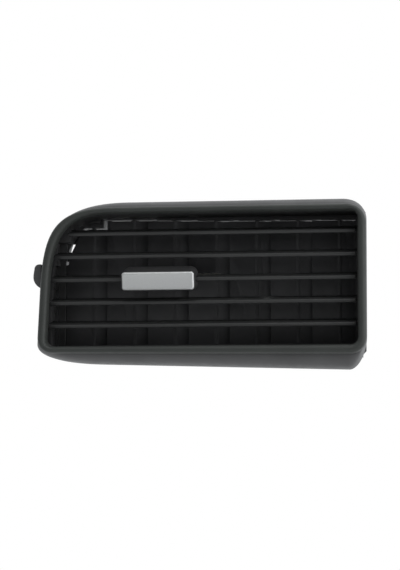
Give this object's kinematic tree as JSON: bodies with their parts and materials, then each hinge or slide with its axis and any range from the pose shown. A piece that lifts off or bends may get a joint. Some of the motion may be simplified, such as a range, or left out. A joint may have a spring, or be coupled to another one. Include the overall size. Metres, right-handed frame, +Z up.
{
  "type": "dashboard air vent",
  "caption": "Slanted dashboard air vent: dark trim ring on a flared shroud, level blades in front, upright shut-off vanes behind and a silver sliding knob that turns them.",
  "frame": {"origin": "middle of the whole vent's bounding box", "axes": "+X to the viewer's right along the blades, +Y from the front face into the dashboard, +Z up"},
  "size_m": [0.1868, 0.072, 0.0944],
  "materials": {
    "ring_plastic": "satin dark greenish grey, fine grain",
    "shroud_plastic": "satin dark grey, fine grain",
    "housing_plastic": "matt black moulded plastic",
    "blade_plastic": "satin black",
    "vane_plastic": "semi-gloss black",
    "link_plastic": "matt black moulded plastic",
    "knob_plastic": "satin black",
    "silver_paint": "satin silver paint on plastic",
    "rack_plastic": "natural acetal",
    "pad_rubber": "black silicone",
    "spring_steel": "bent spring steel strip"
  },
  "bodies": {
    "frame": {"front_ring": "ring_plastic", "outer_shroud": "shroud_plastic", "duct_housing": "housing_plastic", "left_blade_carrier": "housing_plastic", "right_blade_carrier": "housing_plastic", "upper_vane_strip": "housing_plastic", "lower_vane_strip": "housing_plastic", "retaining_clips": "spring_steel"},
    "blade_1": {"blade_1": "blade_plastic"},
    "blade_2": {"blade_2": "blade_plastic"},
    "blade_3": {"blade_3": "blade_plastic"},
    "blade_4": {"blade_4": "blade_plastic"},
    "blade_5": {"blade_5": "blade_plastic"},
    "blade_link": {"blade_link": "link_plastic"},
    "slider": {"knob_body": "knob_plastic", "knob_cap": "silver_paint", "knob_rack": "rack_plastic", "knob_pad": "pad_rubber"},
    "vane_1": {"vane_1": "vane_plastic"},
    "vane_2": {"vane_2": "vane_plastic"},
    "vane_3": {"vane_3": "vane_plastic"},
    "vane_4": {"vane_4": "vane_plastic"},
    "vane_5": {"vane_5": "vane_plastic"},
    "vane_6": {"vane_6": "vane_plastic"},
    "vane_7": {"vane_7": "vane_plastic"},
    "vane_link": {"vane_link": "link_plastic"}
  },
  "joints": [
    {"name": "blade_3_tilt", "type": "hinge", "parent": "frame", "child": "blade_3", "pos_m": [0.0032, -0.012, 0.0059], "axis": [1, 0, 0], "range_deg": [-18, 22]},
    {"name": "blade_1_tilt", "type": "hinge", "parent": "frame", "child": "blade_1", "pos_m": [0.0032, -0.012, 0.03164], "axis": [1, 0, 0], "range_deg": [-18, 22]},
    {"name": "blade_2_tilt", "type": "hinge", "parent": "frame", "child": "blade_2", "pos_m": [0.0032, -0.012, 0.01877], "axis": [1, 0, 0], "range_deg": [-18, 22]},
    {"name": "blade_4_tilt", "type": "hinge", "parent": "frame", "child": "blade_4", "pos_m": [0.0032, -0.012, -0.00697], "axis": [1, 0, 0], "range_deg": [-18, 22]},
    {"name": "blade_5_tilt", "type": "hinge", "parent": "frame", "child": "blade_5", "pos_m": [0.0032, -0.012, -0.01984], "axis": [1, 0, 0], "range_deg": [-18, 22]},
    {"name": "blade_link_pivot", "type": "hinge", "parent": "blade_3", "child": "blade_link", "pos_m": [0.0882, -0.0208, 0.00403], "axis": [1, 0, 0], "range_deg": [-22, 18]},
    {"name": "knob_slide", "type": "slide", "parent": "blade_3", "child": "slider", "axis": [1, 0, 0], "range_m": [0, 0.0444]},
    {"name": "vane_4_turn", "type": "hinge", "parent": "frame", "child": "vane_4", "pos_m": [0.005, 0.009, 0.003], "axis": [0, 0, 1], "range_deg": [0, 140]},
    {"name": "vane_1_turn", "type": "hinge", "parent": "frame", "child": "vane_1", "pos_m": [-0.0652, 0.009, 0.003], "axis": [0, 0, 1], "range_deg": [0, 140]},
    {"name": "vane_2_turn", "type": "hinge", "parent": "frame", "child": "vane_2", "pos_m": [-0.0418, 0.009, 0.003], "axis": [0, 0, 1], "range_deg": [0, 140]},
    {"name": "vane_3_turn", "type": "hinge", "parent": "frame", "child": "vane_3", "pos_m": [-0.0184, 0.009, 0.003], "axis": [0, 0, 1], "range_deg": [0, 140]},
    {"name": "vane_5_turn", "type": "hinge", "parent": "frame", "child": "vane_5", "pos_m": [0.0284, 0.009, 0.003], "axis": [0, 0, 1], "range_deg": [0, 140]},
    {"name": "vane_6_turn", "type": "hinge", "parent": "frame", "child": "vane_6", "pos_m": [0.0518, 0.009, 0.003], "axis": [0, 0, 1], "range_deg": [0, 140]},
    {"name": "vane_7_turn", "type": "hinge", "parent": "frame", "child": "vane_7", "pos_m": [0.0752, 0.009, 0.003], "axis": [0, 0, 1], "range_deg": [0, 140]},
    {"name": "vane_link_pivot", "type": "hinge", "parent": "vane_4", "child": "vane_link", "pos_m": [-0.00421, 0.00565, -0.034], "axis": [0, 0, 1], "range_deg": [-140, 0]}
  ],
  "couplings": [
    {"joint": "blade_1_tilt", "follows": "blade_3_tilt", "ratio": 1},
    {"joint": "blade_2_tilt", "follows": "blade_3_tilt", "ratio": 1},
    {"joint": "blade_4_tilt", "follows": "blade_3_tilt", "ratio": 1},
    {"joint": "blade_5_tilt", "follows": "blade_3_tilt", "ratio": 1},
    {"joint": "blade_link_pivot", "follows": "blade_3_tilt", "ratio": -1},
    {"joint": "vane_4_turn", "follows": "knob_slide", "rad_per_m": 54.945},
    {"joint": "vane_1_turn", "follows": "knob_slide", "rad_per_m": 54.945},
    {"joint": "vane_2_turn", "follows": "knob_slide", "rad_per_m": 54.945},
    {"joint": "vane_3_turn", "follows": "knob_slide", "rad_per_m": 54.945},
    {"joint": "vane_5_turn", "follows": "knob_slide", "rad_per_m": 54.945},
    {"joint": "vane_6_turn", "follows": "knob_slide", "rad_per_m": 54.945},
    {"joint": "vane_7_turn", "follows": "knob_slide", "rad_per_m": 54.945},
    {"joint": "vane_link_pivot", "follows": "knob_slide", "rad_per_m": -54.945}
  ]
}
